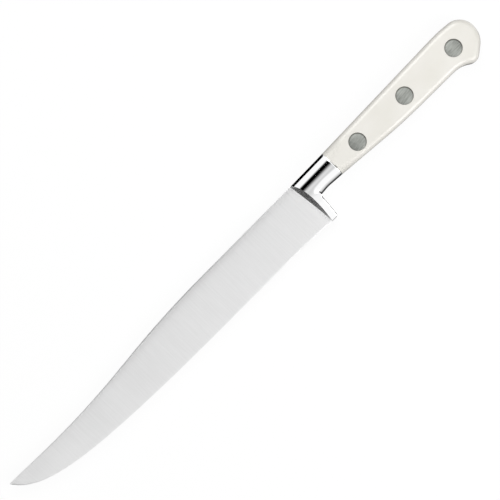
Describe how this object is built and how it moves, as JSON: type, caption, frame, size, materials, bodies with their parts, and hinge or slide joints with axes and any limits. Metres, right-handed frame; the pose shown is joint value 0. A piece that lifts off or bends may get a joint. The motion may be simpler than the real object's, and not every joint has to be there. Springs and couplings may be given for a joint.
{
  "type": "slicing knife",
  "caption": "Full-tang slicing knife with a narrow upswept satin blade, polished forged bolster and finger guard, and riveted cream handle scales",
  "frame": {"origin": "The knife lies on its right side. The origin is the middle of the box round the whole knife, on the surface that it lies on.", "axes": "+X runs from the tip of the blade to the butt of the handle, +Y from the cutting edge to the spine, and +Z out of the left side, which the picture shows."},
  "size_m": [0.3188, 0.0274, 0.013],
  "materials": {
    "satin_steel": "satin, finely ground across the blade",
    "polished_steel": "mirror polished",
    "cream_handle": "gloss",
    "rivet_steel": "finely ground flat"
  },
  "bodies": {
    "root": {"forged_blade": "satin_steel", "left_scale": "cream_handle", "right_scale": "cream_handle", "front_rivet_sleeve": "rivet_steel", "front_rivet_pin": "rivet_steel", "middle_rivet_sleeve": "rivet_steel", "middle_rivet_pin": "rivet_steel", "butt_rivet_sleeve": "rivet_steel", "butt_rivet_pin": "rivet_steel"}
  },
  "joints": []
}
